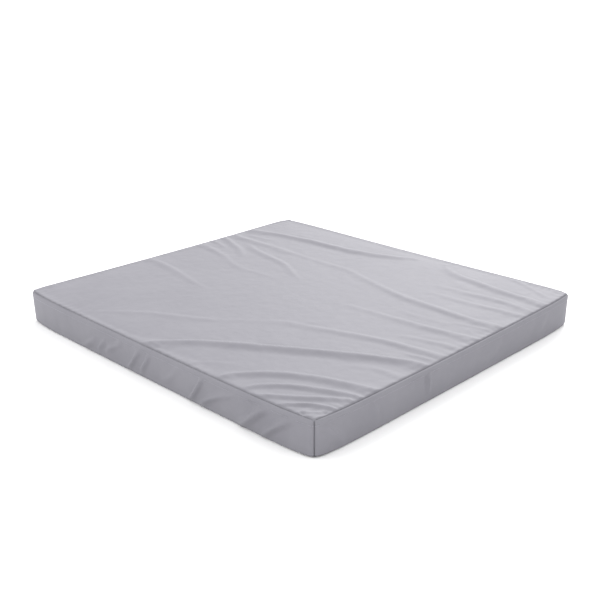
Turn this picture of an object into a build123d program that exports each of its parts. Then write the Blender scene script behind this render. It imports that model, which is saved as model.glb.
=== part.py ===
"""A square-edged pressure relief mattress section for a hospital bed.

A zipped, wipe-clean fabric cover holds a foam core: a firm base slab, four firm side walls and a soft
insert whose top is cut into cells. The cover's back side has a coil zip in a shallow recess, under a
hanging flap. The parts are written one STEP file each, in millimetres.

Frame: +Z up, X across the width, Y along the length, origin at the middle of the underside.
The zip is on the +Y side. Fabric is drawn thicker than it is, at SKIN.
"""

from build123d import *
import os

# ---------------------------------------------------------------- driving dimensions
WIDTH = 900.0  # over the cover, along X
LENGTH = 980.0  # over the cover and the closed flap, along Y
HEIGHT = 78.0
CORNER_RADIUS = 14.0  # of the upright edges, in plan
MITRE_REACH = 60.0  # how far in from a corner its mitre plane is drawn
SKIN = 1.2  # thickness of every cover panel
FLAP_GAP = 0.4  # between the hanging flap and the side behind it

BINDING = 1.6  # folded tape over a seam's allowance, inside the cover
BINDING_HEIGHT = 10.0
BINDING_GAP = 0.1  # binding to panel, and binding to foam

ZIP_HEIGHT = 24.0  # centre line of the zip above the underside
ZIP_HALF_LENGTH = 430.0  # from the middle to where the end tabs close the slot
SLOT_HALF = 8.0  # half the height of the slot in the back panel
TAPE = 0.8  # zip tape thickness
TAPE_HALF = 13.0  # from the zip's centre line to a tape's outer edge
TAPE_END_HIDDEN = 6.0  # how far the tape runs on behind an end tab
ZIP_RECESS = 5.4  # from the back panel's face in to the middle of the tape

COIL_GAP = 1.2  # between the two coils, where the slider's divider runs
COIL_HEIGHT = 2.8
COIL_THICKNESS = 2.4
COIL_HALF_LENGTH = 404.0
STOP_LENGTH = 3.0
STOP_OVERHANG = 0.5  # a stop stands this far out from the coil all round

SLIDER_LENGTH = 14.0
SLIDER_WIDTH = 11.0
SLIDER_STOP_GAP = 1.0  # left between the closed slider and the top stops
PLATE = 1.0  # slider plate thickness
PLATE_CORNER = 2.5
PLATE_BEVEL = 0.25  # of a plate's outward edges
PLATE_CLEARANCE = 0.3  # plate to coil
DIVIDER = 0.8
DIVIDER_LENGTH = 3.5
FLANGE_CLEARANCE = 0.3  # flange to tape
FLANGE = 0.9
FLANGE_INSET = 3.0  # a flange is this much shorter than the plate at each end
BAIL_WIDTH = 2.0
BAIL_POST = 1.2
BAIL_SPAN = 10.0  # outside the posts, along X
BAIL_WINDOW = 1.6  # height of the opening under the bar
BAIL_BAR = 0.9
BAIL_CORNER = 1.0

PULL_THICKNESS = 1.2
PULL_LENGTH = 28.0  # from the hinge line to the tip
PULL_WIDTH = 8.0
PULL_EYE_WIDTH = 2.8
PULL_EYE_LENGTH = 7.0  # from the hinge line
PULL_TIP_RADIUS = 3.0
PULL_GRIP_DEPTH = 0.25
PULL_GRIP_PITCH = 2.6
PULL_GRIPS = 5

FLAP_START = -360.0  # the flap leaves the parked slider free
FLAP_END = ZIP_HALF_LENGTH
FLAP_HINGE_HEIGHT = 52.0
FLAP_BOTTOM = 10.0
FLAP_HINGE_GAP = 0.3  # hinge line to the top of the hanging part
FLAP_STRIP_BOTTOM = 54.3
FLAP_STRIP_TOP = 62.0
FLAP_EDGE_BINDING = 6.0

FOAM_BASE_TOP = 38.4
FOAM_GAP = 0.2  # foam to panel, and foam to foam
WALL_WIDTH = 75.0
CUT_WIDTH = 3.0  # of the cuts between the insert's cells
CUT_DEPTH = 18.0
CELLS_ACROSS = 12
CELLS_ALONG = 14
ZIP_PRESS = 6.0  # how far the zip presses in the base slab's back edge

# ---------------------------------------------------------------- derived places
FRONT = -LENGTH / 2
FLAP_OUTER = LENGTH / 2
FLAP_INNER = FLAP_OUTER - SKIN
BACK = FLAP_INNER - FLAP_GAP  # outer face of the back panel
PANEL_BOTTOM = SKIN
PANEL_TOP = HEIGHT - SKIN
TAPE_MIDDLE = BACK - ZIP_RECESS
SLOT_TOP = ZIP_HEIGHT + SLOT_HALF
SLOT_BOTTOM = ZIP_HEIGHT - SLOT_HALF
SLIDER_PARKED = -COIL_HALF_LENGTH + SLIDER_STOP_GAP + SLIDER_LENGTH / 2  # its place along X, zip closed
PULL_HINGE_Y = TAPE_MIDDLE + COIL_THICKNESS / 2 + PLATE_CLEARANCE + PLATE + BAIL_WINDOW / 2
FOAM_INSET = SKIN + 2 * BINDING_GAP + BINDING


def block(x, y, z):
    """A box from three (low, high) pairs."""
    centre = [(low + high) / 2 for low, high in (x, y, z)]
    return Pos(*centre) * Box(*[high - low for low, high in (x, y, z)])


def slab(inset, bottom, top):
    """The cover's rounded plan, taken in by inset all round, from bottom to top."""
    plan = RectangleRounded(WIDTH - 2 * inset, BACK - FRONT - 2 * inset, CORNER_RADIUS - inset)
    return extrude(Pos(0, (BACK + FRONT) / 2, bottom) * plan, top - bottom)


def ring(inset, thickness, bottom, top):
    """A wall that follows the cover's plan."""
    return slab(inset, bottom, top) - slab(inset + thickness, bottom, top)


def side_sector(side):
    """The part of the cover that belongs to one side, out to the mitre lines of its two corners."""
    outer_x, inner_x = WIDTH / 2, WIDTH / 2 - MITRE_REACH
    outer_y, inner_y = (BACK - FRONT) / 2, (BACK - FRONT) / 2 - MITRE_REACH
    outlines = {
        "front": [(-outer_x, -outer_y), (outer_x, -outer_y), (inner_x, -inner_y), (-inner_x, -inner_y)],
        "back": [(outer_x, outer_y), (-outer_x, outer_y), (-inner_x, inner_y), (inner_x, inner_y)],
        "left": [(-outer_x, outer_y), (-outer_x, -outer_y), (-inner_x, -inner_y), (-inner_x, inner_y)],
        "right": [(outer_x, -outer_y), (outer_x, outer_y), (inner_x, inner_y), (inner_x, -inner_y)],
    }
    sector = extrude(make_face(Polyline(*outlines[side], close=True)), HEIGHT)
    return Pos(0, (BACK + FRONT) / 2, 0) * sector


# ---------------------------------------------------------------- cover
def cover_panels():
    """The top, the base and the side strips, mitred at the corner seams."""
    wall = ring(0, SKIN, PANEL_BOTTOM, PANEL_TOP)
    parts = {
        "cover_top_panel": slab(0, PANEL_TOP, HEIGHT),
        "cover_base_panel": slab(0, 0, PANEL_BOTTOM),
    }
    for side in ("front", "left", "right"):
        parts[f"cover_side_{side}"] = wall & side_sector(side)
    parts.update(back_panels(wall & side_sector("back")))
    return parts


def back_panels(back):
    """The back side in four pieces round the zip slot, with edges turned in to the tape."""
    slot_x = (-ZIP_HALF_LENGTH, ZIP_HALF_LENGTH)
    through = (BACK - 2 * CORNER_RADIUS, BACK)
    lip = (TAPE_MIDDLE + TAPE / 2, BACK - SKIN)
    upper = back & block(slot_x, through, (SLOT_TOP, PANEL_TOP))
    upper += block(slot_x, lip, (SLOT_TOP, SLOT_TOP + SKIN))
    lower = back & block(slot_x, through, (PANEL_BOTTOM, SLOT_BOTTOM))
    lower += block(slot_x, lip, (SLOT_BOTTOM - SKIN, SLOT_BOTTOM))
    parts = {"cover_side_back_upper": upper, "cover_side_back_lower": lower}
    for name, sign in (("left", -1), ("right", 1)):
        near, far = sign * ZIP_HALF_LENGTH, sign * WIDTH / 2
        end = back & block(sorted((near, far)), through, (PANEL_BOTTOM, PANEL_TOP))
        edge = sorted((near, near + sign * SKIN))
        parts[f"zip_end_tab_{name}"] = end + block(edge, lip, (SLOT_BOTTOM, SLOT_TOP))
    return parts


def seam_bindings():
    """Folded tape over the seam allowances inside the cover."""
    inset = SKIN + BINDING_GAP
    base_top = PANEL_BOTTOM + BINDING_HEIGHT
    top_bottom = PANEL_TOP - BINDING_HEIGHT
    parts = {
        "base_seam_binding": ring(inset, BINDING, PANEL_BOTTOM, base_top),
        "top_seam_binding": ring(inset, BINDING, top_bottom, PANEL_TOP),
    }
    upright = ring(inset, BINDING, base_top, top_bottom)
    reach = inset + CORNER_RADIUS
    edges_x = {"left": (-WIDTH / 2, -WIDTH / 2 + reach), "right": (WIDTH / 2 - reach, WIDTH / 2)}
    edges_y = {"front": (FRONT, FRONT + reach), "back": (BACK - reach, BACK)}
    for y_name, y in edges_y.items():
        for x_name, x in edges_x.items():
            corner = upright & block(x, y, (base_top, top_bottom))
            parts[f"corner_seam_binding_{y_name}_{x_name}"] = corner
    return parts


# ---------------------------------------------------------------- zip
def zip_chain():
    """The two tapes, their coils and the stops."""
    parts = {}
    tape_x = (-ZIP_HALF_LENGTH - TAPE_END_HIDDEN, ZIP_HALF_LENGTH + TAPE_END_HIDDEN)
    tape_y = (TAPE_MIDDLE - TAPE / 2, TAPE_MIDDLE + TAPE / 2)
    coil_x = (-COIL_HALF_LENGTH, COIL_HALF_LENGTH)
    coil_y = (TAPE_MIDDLE - COIL_THICKNESS / 2, TAPE_MIDDLE + COIL_THICKNESS / 2)
    stop_y = (coil_y[0] - STOP_OVERHANG, coil_y[1] + STOP_OVERHANG)
    coil_inner, coil_outer = COIL_GAP / 2, COIL_GAP / 2 + COIL_HEIGHT
    top_stops = []
    for name, sign in (("upper", 1), ("lower", -1)):
        coil_z = sorted(ZIP_HEIGHT + sign * z for z in (coil_inner, coil_outer))
        tape_z = sorted(ZIP_HEIGHT + sign * z for z in (coil_outer, TAPE_HALF))
        stop_z = sorted(ZIP_HEIGHT + sign * z for z in (coil_inner, coil_outer + STOP_OVERHANG))
        parts[f"zip_coil_{name}"] = block(coil_x, coil_y, coil_z)
        parts[f"zip_tape_{name}"] = block(tape_x, tape_y, tape_z)
        stop_x = (-COIL_HALF_LENGTH - STOP_LENGTH, -COIL_HALF_LENGTH)
        top_stops.append(block(stop_x, stop_y, stop_z) - parts[f"zip_tape_{name}"])
    parts["zip_top_stops"] = Compound(children=top_stops)
    stop_z = (ZIP_HEIGHT - coil_outer, ZIP_HEIGHT + coil_outer)
    stop_x = (COIL_HALF_LENGTH, COIL_HALF_LENGTH + STOP_LENGTH)
    parts["zip_bottom_stop"] = block(stop_x, stop_y, stop_z)
    return parts


def zip_slider():
    """Two plates joined by a divider, with flanges beside the tapes and a bail on the outer plate."""
    plate_from = COIL_THICKNESS / 2 + PLATE_CLEARANCE
    plate_to = plate_from + PLATE
    half_length, half_width = SLIDER_LENGTH / 2, SLIDER_WIDTH / 2
    divider_x = (-half_length, -half_length + DIVIDER_LENGTH)
    flange_x = (-half_length + FLANGE_INSET, half_length - FLANGE_INSET)
    flange_from = TAPE / 2 + FLANGE_CLEARANCE
    slider = block(divider_x, (-plate_from, plate_from), (-DIVIDER / 2, DIVIDER / 2))
    for sign in (-1, 1):
        plate_y = sorted((sign * plate_from, sign * plate_to))
        plate = block((-half_length, half_length), plate_y, (-half_width, half_width))
        plate = fillet(plate.edges().filter_by(Axis.Y), PLATE_CORNER)
        outward = plate.faces().sort_by(Axis.Y)[-1 if sign > 0 else 0]
        slider += chamfer(outward.edges(), PLATE_BEVEL)
        flange_y = sorted((sign * flange_from, sign * plate_from))
        for side in (-1, 1):
            slider += block(flange_x, flange_y, sorted((side * (half_width - FLANGE), side * half_width)))
    bar_from = plate_to + BAIL_WINDOW
    bail_z = (-BAIL_WIDTH / 2, BAIL_WIDTH / 2)
    bail = block((-BAIL_SPAN / 2, BAIL_SPAN / 2), (plate_to, bar_from + BAIL_BAR), bail_z)
    bail = fillet(bail.edges().filter_by(Axis.Z).group_by(Axis.Y)[-1], BAIL_CORNER)
    inside = BAIL_SPAN / 2 - BAIL_POST
    bail -= block((-inside, inside), (plate_to, bar_from), bail_z)
    return {"zip_slider": Pos(SLIDER_PARKED, TAPE_MIDDLE, ZIP_HEIGHT) * (slider + bail)}


def zip_pull():
    """The tab that hangs in the bail, lying flat towards +X, with grip ribs near its tip."""
    half = PULL_THICKNESS / 2
    tab = block((0, PULL_LENGTH), (-half, half), (-PULL_WIDTH / 2, PULL_WIDTH / 2))
    tab = fillet(tab.edges().filter_by(Axis.Y).group_by(Axis.X)[-1], PULL_TIP_RADIUS)
    tab += Cylinder(half, PULL_WIDTH)
    tab -= block((half, PULL_EYE_LENGTH), (-half, half), (-PULL_EYE_WIDTH / 2, PULL_EYE_WIDTH / 2))
    for index in range(PULL_GRIPS):
        start = PULL_LENGTH - PULL_TIP_RADIUS - (index + 1) * PULL_GRIP_PITCH
        rib_x = (start, start + PULL_GRIP_PITCH / 2)
        tab -= block(rib_x, (half - PULL_GRIP_DEPTH, half), (-PULL_WIDTH / 2, PULL_WIDTH / 2))
    return {"zip_pull_tab": Pos(SLIDER_PARKED, PULL_HINGE_Y, ZIP_HEIGHT) * tab}


def zip_flap():
    """The flap that hangs over the zip, its bound edge, and the sewn strip that it hangs from."""
    x = (FLAP_START, FLAP_END)
    y = (FLAP_INNER, FLAP_OUTER)
    bound = FLAP_BOTTOM + FLAP_EDGE_BINDING
    strip_y = (BACK, FLAP_OUTER)
    return {
        "zip_flap_seam_strip": block(x, strip_y, (FLAP_STRIP_BOTTOM, FLAP_STRIP_TOP)),
        "zip_flap": block(x, y, (bound, FLAP_HINGE_HEIGHT - FLAP_HINGE_GAP)),
        "zip_flap_edge_binding": block(x, y, (FLAP_BOTTOM, bound)),
    }


# ---------------------------------------------------------------- foam core
def foam_core():
    """The base slab, the four side walls on it, and the cut insert between them."""
    bottom = PANEL_BOTTOM + FOAM_GAP
    top = PANEL_TOP - FOAM_GAP
    outer = slab(FOAM_INSET, bottom, top)
    x = (-WIDTH / 2 + FOAM_INSET, WIDTH / 2 - FOAM_INSET)
    y = (FRONT + FOAM_INSET, BACK - FOAM_INSET)
    inner_x = (x[0] + WALL_WIDTH, x[1] - WALL_WIDTH)
    inner_y = (y[0] + WALL_WIDTH, y[1] - WALL_WIDTH)
    upper = (FOAM_BASE_TOP + FOAM_GAP, top)
    between_x = (inner_x[0] + FOAM_GAP, inner_x[1] - FOAM_GAP)
    between = (inner_y[0] + FOAM_GAP, inner_y[1] - FOAM_GAP)
    return {
        "foam_base": outer & block(x, (y[0], y[1] - ZIP_PRESS), (bottom, FOAM_BASE_TOP)),
        "foam_side_wall_front": outer & block(x, (y[0], inner_y[0]), upper),
        "foam_side_wall_back": outer & block(x, (inner_y[1], y[1]), upper),
        "foam_side_wall_left": block((x[0], inner_x[0]), between, upper),
        "foam_side_wall_right": block((inner_x[1], x[1]), between, upper),
        "foam_castellated_insert": castellated(between_x, between, upper),
    }


def castellated(x, y, z):
    """A block whose top is cut both ways into cells."""
    insert = block(x, y, z)
    cut_z = (z[1] - CUT_DEPTH, z[1])
    for index in range(1, CELLS_ACROSS):
        middle = x[0] + (x[1] - x[0]) * index / CELLS_ACROSS
        insert -= block((middle - CUT_WIDTH / 2, middle + CUT_WIDTH / 2), y, cut_z)
    for index in range(1, CELLS_ALONG):
        middle = y[0] + (y[1] - y[0]) * index / CELLS_ALONG
        insert -= block(x, (middle - CUT_WIDTH / 2, middle + CUT_WIDTH / 2), cut_z)
    return insert


def main():
    """Builds every part and writes it to parts/."""
    os.makedirs("parts", exist_ok=True)
    makers = (cover_panels, seam_bindings, zip_chain, zip_slider, zip_pull, zip_flap, foam_core)
    for maker in makers:
        for name, shape in maker().items():
            export_step(shape, f"parts/{name}.step")
            print(name, round(shape.volume / 1000, 3), "cm3")


main()
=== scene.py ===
"""The looks of a square-edged foam mattress section in a zipped, wipe-clean cover.

Each class builds one sub-assembly in metres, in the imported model's frame: +Z up, X across the width, Y along
the length, and the zip with its flap on the +Y side. Lists of cloth folds are in millimetres.
"""

import logging
import math
from collections.abc import Callable, Sequence
from dataclasses import dataclass, field, replace
from enum import Enum

import bmesh
import bpy
import numpy as np
from mathutils import Matrix, Vector


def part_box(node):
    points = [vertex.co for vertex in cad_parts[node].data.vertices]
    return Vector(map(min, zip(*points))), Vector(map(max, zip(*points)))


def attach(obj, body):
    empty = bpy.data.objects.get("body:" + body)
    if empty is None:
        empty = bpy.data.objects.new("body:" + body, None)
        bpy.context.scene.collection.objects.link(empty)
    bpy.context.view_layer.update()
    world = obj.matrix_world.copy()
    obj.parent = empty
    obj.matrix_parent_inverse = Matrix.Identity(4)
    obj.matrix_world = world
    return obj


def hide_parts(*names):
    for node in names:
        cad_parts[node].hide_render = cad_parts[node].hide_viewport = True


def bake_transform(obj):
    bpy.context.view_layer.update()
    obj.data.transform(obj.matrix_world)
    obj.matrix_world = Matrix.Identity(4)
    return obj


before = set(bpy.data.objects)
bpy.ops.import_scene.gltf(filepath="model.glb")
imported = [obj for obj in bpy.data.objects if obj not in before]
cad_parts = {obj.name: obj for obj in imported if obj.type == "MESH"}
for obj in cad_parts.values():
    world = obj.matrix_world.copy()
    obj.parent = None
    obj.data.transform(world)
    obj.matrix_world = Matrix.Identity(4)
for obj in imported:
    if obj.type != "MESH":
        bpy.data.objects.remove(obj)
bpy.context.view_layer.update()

LOG = logging.getLogger("mattress")
MM = 0.001
SEED = 11

Colour = tuple[float, float, float]


# ---------------------------------------------------------------- shader expressions
class Socket:
    """A shader socket that takes part in Python sums, each of which adds its Math node."""

    def __init__(self, shader: "Shader", socket: bpy.types.NodeSocket) -> None:
        """Wraps one output socket of a shader's node."""
        self.shader = shader
        self.socket = socket

    def _math(self, operation: str, *values: "Socket | float") -> "Socket":
        """Adds a Math node that works on the given values."""
        inputs = dict(enumerate(values))
        return self.shader.node("ShaderNodeMath", {"operation": operation}, inputs)

    def __add__(self, other: "Socket | float") -> "Socket":
        """This plus other."""
        return self._math("ADD", self, other)

    __radd__ = __add__

    def __sub__(self, other: "Socket | float") -> "Socket":
        """This less other."""
        return self._math("SUBTRACT", self, other)

    def __mul__(self, other: "Socket | float") -> "Socket":
        """This times other."""
        return self._math("MULTIPLY", self, other)

    __rmul__ = __mul__

    def sine(self) -> "Socket":
        """The sine of this, in radians."""
        return self._math("SINE", self)

    def size(self) -> "Socket":
        """This without its sign."""
        return self._math("ABSOLUTE", self)

    def ramp(self, low: float, high: float) -> "Socket":
        """0 at low and 1 at high, with a smooth change between.

        Args:
            low: The value that gives 0.
            high: The value that gives 1.

        Returns:
            The mapped value.
        """
        settings = {"interpolation_type": "SMOOTHSTEP"}
        return self.shader.node("ShaderNodeMapRange", settings, {0: self, 1: low, 2: high})


class Shader:
    """One material's nodes, ending in a Principled shader."""

    def __init__(self, name: str) -> None:
        """Starts an empty material."""
        self.material = bpy.data.materials.new(name)
        self.material.use_nodes = True
        self.tree = self.material.node_tree
        self.tree.nodes.clear()

    def node(
        self,
        kind: str,
        settings: dict[str, object] | None = None,
        inputs: dict[str | int, object] | None = None,
        output: str | int = 0,
    ) -> Socket:
        """Adds a node.

        Args:
            kind: The node's type.
            settings: Its own settings, which are set first.
            inputs: Values or sockets for its inputs, by name or number.
            output: The output to return.

        Returns:
            The chosen output.
        """
        node = self.tree.nodes.new(kind)
        for name, value in (settings or {}).items():
            setattr(node, name, value)
        for key, value in (inputs or {}).items():
            if isinstance(value, Socket):
                self.tree.links.new(value.socket, node.inputs[key])
            else:
                node.inputs[key].default_value = value
        return Socket(self, node.outputs[output])

    def mix(self, factor: Socket, first: Colour | Socket, second: Colour | Socket) -> Socket:
        """Blends two colours.

        Args:
            factor: 0 for the first colour and 1 for the second.
            first: A colour.
            second: A colour.

        Returns:
            The blended colour.
        """
        values = [(*c, 1.0) if isinstance(c, tuple) else c for c in (first, second)]
        return self.node("ShaderNodeMix", {"data_type": "RGBA"}, {0: factor, 6: values[0], 7: values[1]}, 2)

    def place(self) -> Socket:
        """The point's place on the object, in metres."""
        return self.node("ShaderNodeTexCoord", output="Object")

    def cut(self) -> tuple[Socket, Socket]:
        """The point's place on the flat cloth, along and across, in metres."""
        flat = self.node("ShaderNodeUVMap", {"uv_map": "cut"})
        parts = self.node("ShaderNodeSeparateXYZ", inputs={0: flat})
        return parts, Socket(self, parts.socket.node.outputs[1])

    def noise(self, scale: float, detail: float = 2.0, roughness: float = 0.5) -> Socket:
        """Cloudy noise over the object.

        Args:
            scale: Its frequency, per metre.
            detail: How many finer layers it has.
            roughness: How strong the finer layers are.

        Returns:
            A value about 0.5.
        """
        inputs = {"Vector": self.place(), "Scale": scale, "Detail": detail, "Roughness": roughness}
        return self.node("ShaderNodeTexNoise", inputs=inputs)

    def bump(self, height: Socket, distance: float, below: Socket | None = None) -> Socket:
        """A bumped normal.

        Args:
            height: From 0 to 1.
            distance: The depth in metres that a height of 1 stands for.
            below: A normal that this one builds on.

        Returns:
            The normal.
        """
        inputs = {"Strength": 1.0, "Distance": distance, "Height": height}
        if below is not None:
            inputs["Normal"] = below
        return self.node("ShaderNodeBump", inputs=inputs)

    def finish(self, **inputs: object) -> bpy.types.Material:
        """Adds the Principled shader, with underscores in its inputs' names standing for spaces."""
        named = {key.replace("_", " "): value for key, value in inputs.items()}
        for key, value in named.items():
            if isinstance(value, tuple):
                named[key] = (*value, 1.0)
        surface = self.node("ShaderNodeBsdfPrincipled", inputs=named)
        output = self.tree.nodes.new("ShaderNodeOutputMaterial")
        self.tree.links.new(surface.socket, output.inputs["Surface"])
        return self.material


# ---------------------------------------------------------------- finishes
@dataclass(frozen=True)
class CoatedFabric:
    """Knit cloth with a satin coating: a faint weave, slow changes of tone and a soft shine."""

    name: str = "coated_fabric"
    light: Colour = (0.214, 0.211, 0.233)
    dark: Colour = (0.197, 0.194, 0.216)
    roughness: float = 0.55
    shine: float = 0.06
    thread: float = 0.0009
    weave_depth: float = 0.00002
    crumple_depth: float = 0.0012

    def build(self) -> bpy.types.Material:
        """Makes the material."""
        shader = Shader(self.name)
        along, across = shader.cut()
        turn = math.pi / self.thread
        weave = (along * turn).sine() * (across * turn).sine() * 0.5 + 0.5
        clouds = shader.noise(9.0, 3.0)
        crumple = shader.noise(38.0, 2.0, 0.4)
        tone = (clouds * 0.7 + crumple * 0.2 + weave * 0.1).ramp(0.3, 0.7)
        rough = self.roughness + (clouds - 0.5) * 0.18 + (weave - 0.5) * 0.05
        soft = shader.bump(crumple, self.crumple_depth)
        return shader.finish(
            Base_Color=shader.mix(tone, self.dark, self.light),
            Roughness=rough,
            Normal=shader.bump(weave, self.weave_depth, soft),
            Specular_IOR_Level=self.shine,
            Sheen_Weight=0.03,
            Sheen_Roughness=0.45,
        )


@dataclass(frozen=True)
class WovenTape:
    """Narrow woven tape: slanting ribs in a herringbone."""

    name: str = "woven_tape"
    light: Colour = (0.085, 0.085, 0.1)
    dark: Colour = (0.045, 0.045, 0.055)
    rib: float = 0.0011
    row: float = 0.0042
    depth: float = 0.00012

    def build(self) -> bpy.types.Material:
        """Makes the material."""
        shader = Shader(self.name)
        along, across = shader.cut()
        slant = ((across * (math.tau / self.row)).sine().size() - 0.5) * (2.2 * self.rib)
        ribs = ((along + slant) * (math.tau / self.rib)).sine() * 0.5 + 0.5
        worn = shader.noise(60.0, 3.0)
        tone = ribs * 0.6 + worn * 0.4
        return shader.finish(
            Base_Color=shader.mix(tone, self.dark, self.light),
            Roughness=0.72 + (worn - 0.5) * 0.2,
            Normal=shader.bump(ribs, self.depth),
            Sheen_Weight=0.2,
        )


@dataclass(frozen=True)
class Thread:
    """Twisted sewing thread."""

    name: str = "sewing_thread"
    light: Colour = (0.33, 0.33, 0.365)
    dark: Colour = (0.22, 0.22, 0.25)
    ply: float = 0.0005

    def build(self) -> bpy.types.Material:
        """Makes the material."""
        shader = Shader(self.name)
        twist = shader.noise(1.0 / self.ply, 1.0)
        return shader.finish(
            Base_Color=shader.mix(twist, self.dark, self.light),
            Roughness=0.55 + twist * 0.15,
            Normal=shader.bump(twist, 0.00006),
            Sheen_Weight=0.15,
        )


@dataclass(frozen=True)
class MouldedPlastic:
    """Plain moulded plastic, a little uneven in tone and shine."""

    name: str = "moulded_plastic"
    light: Colour = (0.055, 0.055, 0.063)
    dark: Colour = (0.035, 0.035, 0.042)
    roughness: float = 0.38

    def build(self) -> bpy.types.Material:
        """Makes the material."""
        shader = Shader(self.name)
        cloud = shader.noise(420.0, 2.0)
        return shader.finish(
            Base_Color=shader.mix(cloud, self.dark, self.light),
            Roughness=self.roughness + (cloud - 0.5) * 0.16,
            Normal=shader.bump(cloud, 0.00004),
        )


@dataclass(frozen=True)
class LacqueredMetal:
    """Cast zinc under dark lacquer that has rubbed thin in places."""

    name: str = "lacquered_metal"
    lacquer: Colour = (0.06, 0.06, 0.068)
    bare: Colour = (0.42, 0.41, 0.4)
    roughness: float = 0.34

    def build(self) -> bpy.types.Material:
        """Makes the material."""
        shader = Shader(self.name)
        rubbed = shader.noise(230.0, 4.0, 0.6).ramp(0.62, 0.8)
        pits = shader.noise(1500.0, 2.0)
        return shader.finish(
            Base_Color=shader.mix(rubbed, self.lacquer, self.bare),
            Metallic=0.35 + rubbed * 0.6,
            Roughness=self.roughness + (pits - 0.5) * 0.2,
            Normal=shader.bump(pits, 0.00003),
        )


@dataclass(frozen=True)
class OpenFoam:
    """Open-celled foam: fine pores, darkened in their hollows by painted shade, over a slow change of tone."""

    name: str = "open_foam"
    light: Colour = (0.78, 0.74, 0.6)
    dark: Colour = (0.6, 0.55, 0.42)
    pore: float = 0.0013
    depth: float = 0.0005

    def build(self) -> bpy.types.Material:
        """Makes the material."""
        shader = Shader(self.name)
        inputs = {"Vector": shader.place(), "Scale": 1.0 / self.pore}
        cells = shader.node("ShaderNodeTexVoronoi", inputs=inputs)
        pores = cells.ramp(0.1, 0.6)
        cloud = shader.noise(14.0, 2.0)
        return shader.finish(
            # Painted shade: the base colour is darker in the pores' hollows, mixed with a slow change of tone.
            Base_Color=shader.mix(pores * 0.7 + cloud * 0.3, self.dark, self.light),
            Roughness=0.9 + (cloud - 0.5) * 0.1,
            Normal=shader.bump(pores, self.depth),
        )


# ---------------------------------------------------------------- mesh helpers
def smooth(share: np.ndarray | float) -> np.ndarray | float:
    """0 to 1 with level ends, clipped outside."""
    share = np.clip(share, 0.0, 1.0)
    return share * share * (3.0 - 2.0 * share)


def flat_grid(across: Sequence[float], up: Sequence[float]) -> bmesh.types.BMesh:
    """A flat grid with its lines at given places, and the flat cloth's metres in a UV map.

    Args:
        across: Where its lines stand along X.
        up: Where its lines stand along Y.

    Returns:
        The grid, with its faces towards +Z.
    """
    cloth = bmesh.new()
    columns, rows = len(across) - 1, len(up) - 1
    bmesh.ops.create_grid(cloth, x_segments=columns, y_segments=rows, size=0.5)
    for vert in cloth.verts:
        column = round((vert.co.x + 0.5) * columns)
        row = round((vert.co.y + 0.5) * rows)
        vert.co = (across[column], up[row], 0.0)
    cut = cloth.loops.layers.uv.new("cut")
    for face in cloth.faces:
        for loop in face.loops:
            loop[cut].uv = loop.vert.co.xy
    return cloth


def reshape(cloth: bmesh.types.BMesh, shape: Callable[[np.ndarray], np.ndarray]) -> None:
    """Moves every vertex to where a function of all the places puts it."""
    places = np.array([vert.co for vert in cloth.verts])
    for vert, place in zip(cloth.verts, shape(places)):
        vert.co = place


def even_lines(start: float, end: float, step: float) -> list[float]:
    """Places from start to end, no further apart than step."""
    count = max(1, math.ceil(abs(end - start) / step - 1e-6))
    return [start + (end - start) * index / count for index in range(count + 1)]


def make_piece(shape: bmesh.types.BMesh, name: str) -> bpy.types.Object:
    """Turns a bmesh into a smooth-shaded object at the origin."""
    mesh = bpy.data.meshes.new(name)
    shape.to_mesh(mesh)
    shape.free()
    mesh.shade_smooth()
    piece = bpy.data.objects.new(name, mesh)
    bpy.context.scene.collection.objects.link(piece)
    return piece


def thicken(piece: bpy.types.Object, thickness: float) -> None:
    """Gives cloth a thickness, on the inside of its faces."""
    shell = piece.modifiers.new("thickness", "SOLIDIFY")
    shell.thickness = thickness
    shell.offset = -1.0


def make_cloth(
    cloth: bmesh.types.BMesh,
    name: str,
    shape: Callable[[np.ndarray], np.ndarray],
    thickness: float,
    turned: bool = False,
) -> bpy.types.Object:
    """Bends flat cloth to its shape and makes it a piece.

    Args:
        cloth: The flat cloth.
        name: The piece's name.
        shape: Gives every place on the flat cloth its place in the frame.
        thickness: The cloth's thickness.
        turned: Whether its faces have to be turned over.

    Returns:
        The piece.
    """
    reshape(cloth, shape)
    if turned:
        bmesh.ops.reverse_faces(cloth, faces=cloth.faces)
    piece = make_piece(cloth, name)
    thicken(piece, thickness)
    return piece


def dress(
    piece: bpy.types.Object, material: bpy.types.Material, slot: str, body: str | None, *nodes: str
) -> None:
    """Gives a piece its finish, its body and the CAD nodes that it stands for.

    Args:
        piece: The piece.
        material: Its finish.
        slot: Not used.
        body: The body that it rides on, or None for one that bends between two.
        nodes: The CAD nodes that it replaces.
    """
    piece.data.materials.append(material)
    if body:
        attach(piece, body)
    if nodes:
        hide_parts(*nodes)
    LOG.info("%s: %d vertices, on %s", piece.name, len(piece.data.vertices), body)


def soften(piece: bpy.types.Object, width: float, segments: int = 2) -> None:
    """Rounds a piece's sharp edges."""
    bevel = piece.modifiers.new("soft_edges", "BEVEL")
    bevel.width = width
    bevel.segments = segments
    bevel.limit_method = "ANGLE"


def freeze(piece: bpy.types.Object) -> None:
    """Makes what a piece's modifiers give its own mesh, and removes them."""
    shaped = piece.evaluated_get(bpy.context.evaluated_depsgraph_get())
    mesh = bpy.data.meshes.new_from_object(shaped)
    piece.modifiers.clear()
    piece.data = mesh
    mesh.name = piece.name


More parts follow.
